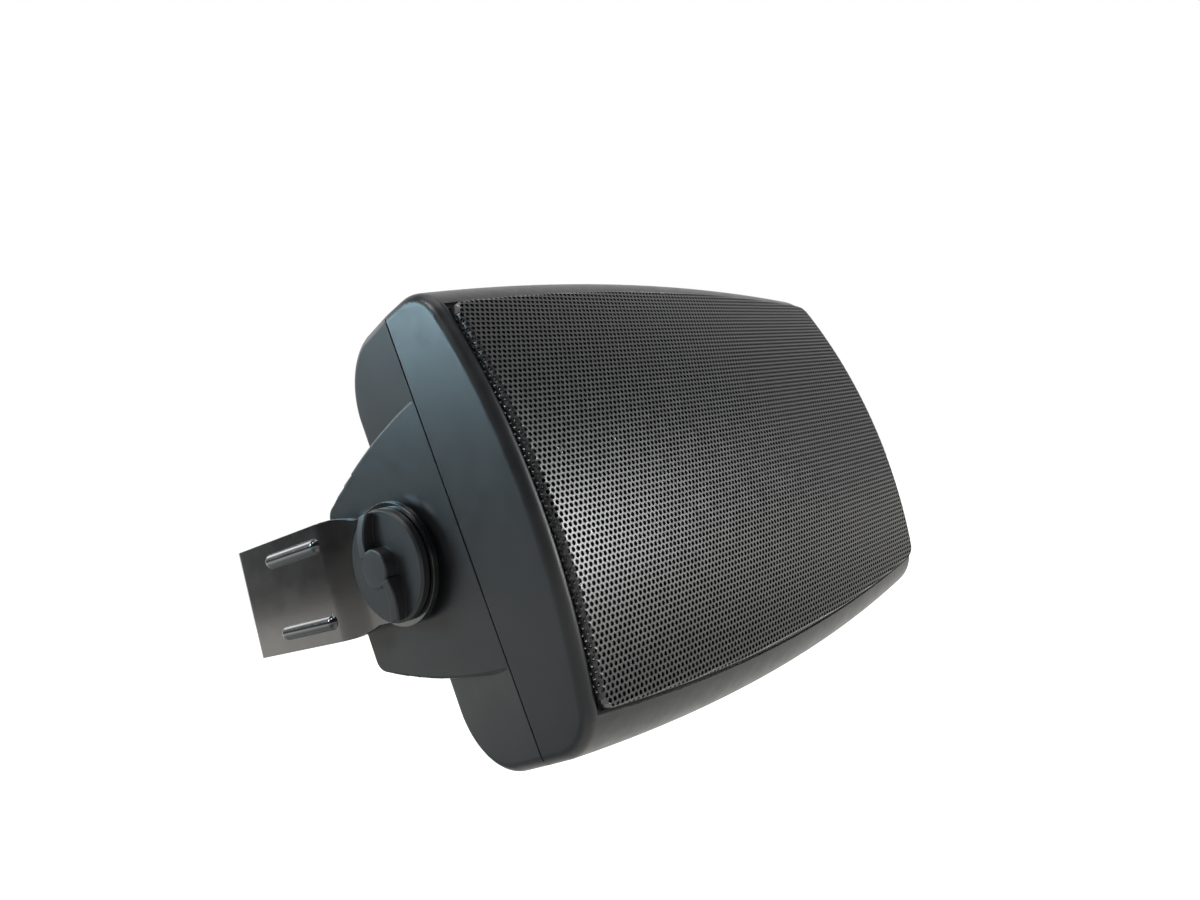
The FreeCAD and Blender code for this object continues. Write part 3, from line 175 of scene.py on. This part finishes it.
def make_surfaces():
    """One surface per material slot of the record."""
    made = {}

    def plastic(slot, base, rough, grain=0.35 * MM, depth=0.02 * MM, spread=0.12, **more):
        surface = Surface(slot, rough, **more).colour(*around(base, spread), 9 * MM)
        surface.gloss(rough - 0.05, rough + 0.06, 5 * MM).relief(grain, depth)
        made[slot] = surface
        return surface

    moulding = Surface("abs_black", 0.36, specular=0.5).soft_edges(0.5 * MM)
    moulding.colour(*around((0.0105, 0.011, 0.0125), 0.14), 14 * MM)
    moulding.gloss(0.34, 0.4, 7 * MM).relief(0.32 * MM, 0.012 * MM)
    made["abs_black"] = moulding

    paint = Surface("grille_paint", 0.32, specular=0.9)
    paint.colour(*around((0.011, 0.0112, 0.012), 0.2), 4 * MM).gloss(0.28, 0.36, 3 * MM)
    paint.relief(0.25 * MM, 0.012 * MM)
    made["grille_paint"] = paint

    gloss = Surface("bracket_paint", 0.16, specular=0.8, coat=0.8, coat_rough=0.12).soft_edges(0.4 * MM)
    gloss.colour(*around((0.004, 0.004, 0.0045), 0.15), 12 * MM).gloss(0.14, 0.22, 8 * MM)
    gloss.relief(1.1 * MM, 0.006 * MM)
    made["bracket_paint"] = gloss

    knob = Surface("knob_plastic", 0.48, specular=0.5).soft_edges(0.35 * MM)
    knob.colour(*around((0.011, 0.0115, 0.013), 0.12), 8 * MM).gloss(0.38, 0.46, 4 * MM)
    knob.relief(0.3 * MM, 0.015 * MM)
    made["knob_plastic"] = knob

    plastic("face_plastic", (0.02, 0.02, 0.022), 0.45)
    plastic("cup_plastic", (0.02, 0.02, 0.022), 0.42).soft_edges(0.3 * MM)
    plastic("bobbin_plastic", (0.1, 0.1, 0.1), 0.5)
    plastic("lever_red", (0.42, 0.02, 0.02), 0.28, depth=0.008 * MM)
    plastic("lever_black", (0.015, 0.015, 0.015), 0.28, depth=0.008 * MM)
    plastic("board_green", (0.02, 0.13, 0.05), 0.35, depth=0.006 * MM, coat=0.4)
    plastic("capacitor_sleeve", (0.02, 0.035, 0.12), 0.25, depth=0.004 * MM, coat=0.5)
    plastic("resistor_ceramic", (0.62, 0.6, 0.55), 0.75, depth=0.05 * MM)
    plastic("rubber_black", (0.014, 0.014, 0.014), 0.7, depth=0.03 * MM)

    def metal(slot, base, rough, stretch=(1, 1, 1), spread=0.1):
        surface = Surface(slot, rough, metal=1.0).colour(*around(base, spread), 3 * MM)
        surface.gloss(rough - 0.08, rough + 0.1, 1.5 * MM, stretch)
        surface.relief(0.3 * MM, 0.006 * MM, stretch=stretch)
        made[slot] = surface

    metal("zinc_steel", (0.62, 0.63, 0.64), 0.3)
    metal("brass_plain", (0.72, 0.52, 0.24), 0.32)
    metal("coil_former", (0.75, 0.75, 0.76), 0.35)
    metal("copper_wire", (0.62, 0.27, 0.12), 0.3, (8, 1, 1))
    painted = Surface("basket_paint", 0.4).colour(*around((0.02, 0.02, 0.02), 0.2), 6 * MM)
    made["basket_paint"] = painted.gloss(0.32, 0.5, 5 * MM).relief(0.5 * MM, 0.02 * MM)
    ferrite = Surface("ferrite", 0.65).colour(*around((0.06, 0.06, 0.065), 0.25), 2 * MM)
    made["ferrite"] = ferrite.gloss(0.55, 0.75, 2 * MM).relief(0.6 * MM, 0.04 * MM)

    def cloth(slot, base, grain, depth, sheen=0.2, spread=0.25):
        surface = Surface(slot, 0.85, sheen=sheen).colour(*around(base, spread), 3 * MM)
        surface.relief(grain, depth, 4.0)
        made[slot] = surface

    cloth("cone_paper", (0.028, 0.028, 0.03), 0.7 * MM, 0.08 * MM, 0.05)
    cloth("spider_cloth", (0.45, 0.3, 0.1), 0.5 * MM, 0.1 * MM)
    cloth("dome_silk", (0.02, 0.02, 0.024), 0.3 * MM, 0.03 * MM)
    cloth("wadding", (0.68, 0.66, 0.62), 2.2 * MM, 0.8 * MM, 0.5)
    return {slot: surface.material for slot, surface in made.items()}


SURFACES = make_surfaces()
SLOT_OF = {part["node"]: part["material_slot"] for part in frame["record"]["subparts"]}


def smoothing(angle):
    """Node group that joins the CAD facets and shades smooth across edges flatter than the angle."""
    tree = bpy.data.node_groups.new("smooth_facets", "GeometryNodeTree")
    tree.interface.new_socket("Geometry", in_out="INPUT", socket_type="NodeSocketGeometry")
    tree.interface.new_socket("Geometry", in_out="OUTPUT", socket_type="NodeSocketGeometry")
    start = tree.nodes.new("NodeGroupInput")
    end = tree.nodes.new("NodeGroupOutput")
    merge = tree.nodes.new("GeometryNodeMergeByDistance")
    merge.inputs["Distance"].default_value = MERGE_DISTANCE
    faces = tree.nodes.new("GeometryNodeSetShadeSmooth")
    faces.domain = "FACE"
    faces.inputs["Shade Smooth"].default_value = True
    edges = tree.nodes.new("GeometryNodeSetShadeSmooth")
    edges.domain = "EDGE"
    turn = tree.nodes.new("GeometryNodeInputMeshEdgeAngle")
    flat = tree.nodes.new("FunctionNodeCompare")
    flat.operation = "LESS_THAN"
    flat.inputs["B"].default_value = angle
    tree.links.new(start.outputs[0], merge.inputs["Geometry"])
    tree.links.new(merge.outputs["Geometry"], faces.inputs["Geometry"])
    tree.links.new(faces.outputs["Geometry"], edges.inputs["Geometry"])
    tree.links.new(turn.outputs["Unsigned Angle"], flat.inputs["A"])
    tree.links.new(flat.outputs["Result"], edges.inputs["Shade Smooth"])
    tree.links.new(edges.outputs["Geometry"], end.inputs[0])
    return tree


def dress_frame():
    """Gives every CAD piece its surface and smooth shading."""
    smooth = smoothing(SMOOTH_ANGLE)
    for name, piece in frame["nodes"].items():
        piece.data.materials.clear()
        piece.data.materials.append(SURFACES[SLOT_OF[name]])
        piece.modifiers.new("smooth", "NODES").node_group = smooth
        weighted = piece.modifiers.new("weighted", "WEIGHTED_NORMAL")
        weighted.keep_sharp = True
        weighted.weight = AREA_WEIGHT


# Grille

ARC_RADIUS = (HALF_LENGTH ** 2 + CROWN ** 2) / (2 * CROWN)
ARC_CENTRE = HALF_END + CROWN - ARC_RADIUS
BOW_AXIS = GRILLE_RADIUS - GRILLE_FRONT
FACE_HALF = HALF_LENGTH - GRILLE_INSET_X - GRILLE_ROLL
FACE_ARC = ARC_RADIUS - GRILLE_INSET_Z - GRILLE_ROLL
FACE_CORNER = GRILLE_CORNER - GRILLE_ROLL
CORNER_X = FACE_HALF - FACE_CORNER
CORNER_Z = ARC_CENTRE + math.sqrt((FACE_ARC - FACE_CORNER) ** 2 - CORNER_X ** 2)
BLANK_HALF = HALF_END * 1.2


def border(x, z):
    """Nearest point of the face's border for a point beyond it, and whether it is in a corner."""
    width, height = abs(x), abs(z)
    rise = height - ARC_CENTRE
    reach = math.hypot(width, rise)
    if width > CORNER_X and height > CORNER_Z and width * (CORNER_Z - ARC_CENTRE) > CORNER_X * rise:
        out = Vector((width - CORNER_X, height - CORNER_Z))
        edge = Vector((CORNER_X, CORNER_Z)) + out.normalized() * FACE_CORNER
        found, corner = (out.length > FACE_CORNER), True
    elif width > CORNER_X and height <= CORNER_Z:
        edge = Vector((FACE_HALF, height))
        found, corner = (width > FACE_HALF), False
    else:
        edge = Vector((width, rise)) * FACE_ARC / reach + Vector((0, ARC_CENTRE))
        found, corner = (reach > FACE_ARC), False
    if not found:
        return None, corner
    return (math.copysign(edge.x, x), math.copysign(edge.y, z)), corner


def beyond(x, z):
    """Distance of a point of the blank outside the face, and whether it lies off a corner."""
    edge, corner = border(x, z)
    if edge is None:
        return 0.0, False
    return math.hypot(x - edge[0], z - edge[1]), corner


def on_sheet(x, z, depth=0.0):
    """Point of the formed sheet for a point of its flat blank, a depth behind the surface."""
    edge, corner = border(x, z)
    if edge is None:
        angle = math.asin(z / GRILLE_RADIUS)
        radius = GRILLE_RADIUS - depth
        return CABINET @ Vector((x, BOW_AXIS - radius * math.cos(angle), radius * math.sin(angle)))
    out = Vector((x - edge[0], z - edge[1]))
    turn = min(out.length / GRILLE_ROLL, math.pi / 2)
    straight = max(0.0, out.length - GRILLE_ROLL * math.pi / 2)
    radius = GRILLE_ROLL - depth
    place = Vector(edge) + out.normalized() * radius * math.sin(turn)
    face = BOW_AXIS - math.sqrt(GRILLE_RADIUS ** 2 - place.y ** 2)
    return CABINET @ Vector((place.x, face + GRILLE_ROLL - radius * math.cos(turn) + straight, place.y))


def add_grille_panel(name, points, faces):
    """One panel of the sheet, which moves with the cabinet and stands for the CAD grille."""
    mesh = bpy.data.meshes.new(name)
    mesh.from_pydata(points, [], faces)
    mesh.validate()
    mesh.materials.append(SURFACES["grille_paint"])
    panel = bpy.data.objects.new(name, mesh)
    bpy.context.scene.collection.objects.link(panel)
    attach(panel, "cabinet")
    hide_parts("grille")


def perforated_cells():
    """Six-sided cells of the blank out to the flange's edge; those gathered at a corner have no hole."""
    row_step = PITCH * math.sqrt(3) / 2
    corner = PITCH / math.sqrt(3)
    reach = GRILLE_ROLL * (math.pi / 2 - 1) + GRILLE_FLANGE - corner
    rows = int(BLANK_HALF / row_step)
    columns = int(HALF_LENGTH / PITCH) + 1
    turns = [math.radians(360 / CELL_SIDES * (k + 0.5)) for k in range(CELL_SIDES)]
    for row in range(-rows, rows + 1):
        z = row * row_step
        for column in range(-columns, columns + 1):
            x = (column + (row % 2) / 2) * PITCH
            out, gathered = beyond(x, z)
            if out < reach:
                ring = [(x + corner * math.cos(a), z + corner * math.sin(a)) for a in turns]
                yield x, z, ring, not (gathered and out > GRILLE_ROLL)


def make_grille():
    """The bowed perforated sheet with its rolled edge and flange, in upright panels."""
    panels = [([], []) for k in range(PANELS)]
    around_hole = [math.radians(360 / HOLE_SIDES * k) for k in range(HOLE_SIDES)]
    rings = [(HOLE_RADIUS + HOLE_BEVEL, 0.0), (HOLE_RADIUS, HOLE_BEVEL), (HOLE_RADIUS, SHEET)]
    for x, z, ring, holed in perforated_cells():
        panel = int((x / HALF_LENGTH + 1) / 2 * PANELS)
        points, faces = panels[panel]
        first = len(points)
        points.extend(on_sheet(*p) for p in ring)
        if not holed:
            faces.append(list(range(first, len(points))))
            continue
        for radius, depth in rings:
            for turn in around_hole:
                points.append(on_sheet(x + radius * math.cos(turn), z + radius * math.sin(turn), depth))
        mouth = first + CELL_SIDES
        for k in range(CELL_SIDES):
            hole = [mouth + (2 * k + step) % HOLE_SIDES for step in (3, 2, 1)]
            faces.append([first + k, first + (k + 1) % CELL_SIDES] + hole)
        for level in range(len(rings) - 1):
            upper = mouth + HOLE_SIDES * level
            lower = upper + HOLE_SIDES
            for k in range(HOLE_SIDES):
                after = (k + 1) % HOLE_SIDES
                faces.append([upper + k, upper + after, lower + after, lower + k])
    for number, (points, faces) in enumerate(panels, 1):
        add_grille_panel(f"grille_panel_{number}", points, faces)


# Room, lights and camera

FLOOR_LEVEL = -0.22
FLOOR_HALF = 30
FLOOR_COLOUR = (0.86, 0.85, 0.83, 1)
# Floor colour seen only in reflections: a painted shade that darkens what the dark paint shows of the floor.
FLOOR_PAINTED_SHADE_IN_REFLECTIONS = (0.25, 0.25, 0.24, 1)
# Warm tint of the floor's glow in reflections: a painted light seen in the dark paint.
PAINTED_GLOW_TINT_IN_REFLECTIONS = (1, 0.97, 0.9, 1)
WHITE = (1, 1, 1, 1)
ROOM_LEVEL = 0.06
WORLD_LEVEL = 0.35
CAMERA_PLACE = Vector((-0.284863, -0.329077, -0.005299))
CAMERA_RIGHT = Vector((0.6484, -0.71546, -0.25998))
CAMERA_UP = Vector((0.1117, -0.24821, 0.96208))
CAMERA_FORWARD = CAMERA_UP.cross(CAMERA_RIGHT).normalized()
CAMERA_LENS = 27.154
SENSOR_WIDTH = 36


def compute(tree, operation, first, second):
    """Result of a math operation on two values."""
    node = tree.nodes.new("ShaderNodeMath")
    node.operation = operation
    tree.links.new(first, node.inputs[0])
    tree.links.new(second, node.inputs[1])
    return node.outputs[0]


def choose_colour(tree, factor, at_zero, at_one):
    """Colour that depends on a factor of zero or one."""
    mix = tree.nodes.new("ShaderNodeMix")
    mix.data_type = "RGBA"
    mix.inputs["A"].default_value = at_zero
    mix.inputs["B"].default_value = at_one
    tree.links.new(factor, mix.inputs["Factor"])
    return mix.outputs["Result"]


def choose_shader(tree, factor, at_zero, at_one):
    """Shader that depends on a factor of zero or one."""
    mix = tree.nodes.new("ShaderNodeMixShader")
    tree.links.new(factor, mix.inputs[0])
    tree.links.new(at_zero, mix.inputs[1])
    tree.links.new(at_one, mix.inputs[2])
    return mix.outputs[0]


def seen_rays(tree, others=("Is Glossy Ray", "Is Transmission Ray")):
    """One for rays from the camera and for the other named ones."""
    path = tree.nodes.new("ShaderNodeLightPath")
    total = path.outputs["Is Camera Ray"]
    for other in others:
        total = compute(tree, "MAXIMUM", total, path.outputs[other])
    return total


def fade(tree, source, start, end, low, high):
    """Smooth step of a value between two limits."""
    step = tree.nodes.new("ShaderNodeMapRange")
    step.interpolation_type = "SMOOTHSTEP"
    step.inputs["From Min"].default_value = start
    step.inputs["From Max"].default_value = end
    step.inputs["To Min"].default_value = low
    step.inputs["To Max"].default_value = high
    tree.links.new(source, step.inputs["Value"])
    return step.outputs["Result"]


def floor_glow(tree):
    """How strongly the floor glows: white far off to the camera and, in reflections, also a painted glow
    below the object and to its right, standing in for light seen in the dark paint.
    """
    place = tree.nodes.new("ShaderNodeTexCoord").outputs["Object"]
    away = tree.nodes.new("ShaderNodeVectorMath")
    away.operation = "LENGTH"
    tree.links.new(place, away.inputs[0])
    distance = away.outputs["Value"]
    across = tree.nodes.new("ShaderNodeSeparateXYZ")
    tree.links.new(place, across.inputs[0])
    slant = compute(tree, "SUBTRACT", across.outputs["X"], across.outputs["Y"])
    # Painted glow seen only in reflections: bright on the floor to the right of the object and behind its
    # front, dark to its left.
    beside = fade(tree, slant, -0.35, 0.05, 0.0, 0.95)
    before = fade(tree, across.outputs["Y"], -0.5, -0.15, 0.15, 1.0)
    painted_glow_below_object = compute(tree, "MULTIPLY", beside, before)
    painted_reflection_glow = compute(tree, "MAXIMUM", painted_glow_below_object, fade(tree, distance, 0.35, 1.5, 0.0, 1.0))
    level = tree.nodes.new("ShaderNodeMix")
    tree.links.new(seen_rays(tree, ()), level.inputs["Factor"])
    tree.links.new(painted_reflection_glow, level.inputs["A"])
    tree.links.new(fade(tree, distance, 0.2, 1.6, 0.5, 1.0), level.inputs["B"])
    return level.outputs["Result"]


def floor_material():
    """Pale and matt; in reflections it takes a painted darker shade and a painted warm glow, standing in for
    the lighting seen in the dark paint.
    """
    material = bpy.data.materials.new("floor_pale")
    material.use_nodes = True
    tree = material.node_tree
    shader = tree.nodes["Principled BSDF"]
    shader.inputs["Roughness"].default_value = 0.9
    shader.inputs["Specular IOR Level"].default_value = 0.1
    glossy = tree.nodes.new("ShaderNodeLightPath").outputs["Is Glossy Ray"]
    # In reflections the floor takes the painted darker shade.
    base = choose_colour(tree, glossy, FLOOR_COLOUR, FLOOR_PAINTED_SHADE_IN_REFLECTIONS)
    tree.links.new(base, shader.inputs["Base Color"])
    glow = tree.nodes.new("ShaderNodeEmission")
    # The glow is white to the camera and a painted warm light in reflections.
    tint = choose_colour(tree, seen_rays(tree, ()), PAINTED_GLOW_TINT_IN_REFLECTIONS, WHITE)
    tree.links.new(tint, glow.inputs["Color"])
    tree.links.new(floor_glow(tree), glow.inputs["Strength"])
    both = tree.nodes.new("ShaderNodeAddShader")
    tree.links.new(shader.outputs[0], both.inputs[0])
    tree.links.new(glow.outputs[0], both.inputs[1])
    shown = choose_shader(tree, seen_rays(tree), shader.outputs[0], both.outputs[0])
    tree.links.new(shown, tree.nodes["Material Output"].inputs["Surface"])
    return material


def make_floor():
    """A pale floor that turns white away from the object."""
    mesh = bpy.data.meshes.new("floor")
    half = FLOOR_HALF
    corners = [(-half, -half), (half, -half), (half, half), (-half, half)]
    mesh.from_pydata([(x, y, FLOOR_LEVEL) for x, y in corners], [], [[0, 1, 2, 3]])
    mesh.materials.append(floor_material())
    floor = bpy.data.objects.new("floor", mesh)
    bpy.context.scene.collection.objects.link(floor)


def make_world():
    """White behind the object; reflections also show the dim room round the camera."""
    world = bpy.data.worlds.new("studio")
    bpy.context.scene.world = world
    world.use_nodes = True
    tree = world.node_tree
    shade = tree.nodes["Background"]
    shade.inputs["Color"].default_value = (0.95, 0.97, 1.0, 1)
    shade.inputs["Strength"].default_value = WORLD_LEVEL
    ahead = tree.nodes.new("ShaderNodeVectorMath")
    ahead.operation = "DOT_PRODUCT"
    tree.links.new(tree.nodes.new("ShaderNodeTexCoord").outputs["Generated"], ahead.inputs[0])
    ahead.inputs[1].default_value = CAMERA_FORWARD
    backdrop = fade(tree, ahead.outputs["Value"], 0.1, 0.75, ROOM_LEVEL, 1.0)
    level = compute(tree, "MAXIMUM", backdrop, seen_rays(tree, ()))
    white = tree.nodes.new("ShaderNodeBackground")
    white.inputs["Color"].default_value = WHITE
    tree.links.new(level, white.inputs["Strength"])
    shown = choose_shader(tree, seen_rays(tree), shade.outputs[0], white.outputs[0])
    tree.links.new(shown, tree.nodes["World Output"].inputs["Surface"])


def make_light(name, place, target, size, power, tint=(1, 1, 1)):
    """A rectangular lamp that faces a point."""
    lamp = bpy.data.lights.new(name, "AREA")
    lamp.shape = "RECTANGLE"
    lamp.size, lamp.size_y = size
    lamp.energy = power
    lamp.color = tint
    light = bpy.data.objects.new(name, lamp)
    light.location = place
    light.rotation_euler = (Vector(target) - Vector(place)).to_track_quat("-Z", "Y").to_euler()
    bpy.context.scene.collection.objects.link(light)


def make_camera():
    """The photograph's point of view."""
    right = CAMERA_FORWARD.cross(CAMERA_UP).normalized()
    up = right.cross(CAMERA_FORWARD)
    turn = Matrix((right, up, -CAMERA_FORWARD)).transposed().to_4x4()
    lens = bpy.data.cameras.new("camera")
    lens.sensor_width = SENSOR_WIDTH
    lens.lens = CAMERA_LENS
    lens.clip_start = 0.01
    camera = bpy.data.objects.new("camera", lens)
    camera.matrix_world = Matrix.Translation(CAMERA_PLACE) @ turn
    bpy.context.scene.collection.objects.link(camera)
    bpy.context.scene.camera = camera


dress_frame()
make_grille()
make_floor()
make_world()
make_light("key", (-0.95, 0.85, 0.6), (0, -0.1, 0), (0.5, 0.4), 10, (0.58, 0.86, 1.0))
make_light("fill", (0.68, -1.27, 0.14), (0, -0.12, 0), (0.45, 0.4), 15)
make_light("front", (0.58, -1.3, 0.55), (0, -0.12, 0), (0.4, 0.4), 3, (0.9, 0.96, 1.0))
make_light("top", (-0.1, -0.3, 1.4), (0, -0.1, 0), (1.0, 1.0), 6)
make_light("rim", (-0.85, 0.05, 0.95), (0, -0.1, 0), (0.25, 0.25), 4)
make_light("back", (-0.13, 1.0, 0.65), (-0.1, -0.05, 0), (0.4, 0.3), 0.6)
make_camera()
bpy.context.scene.view_settings.view_transform = "Standard"
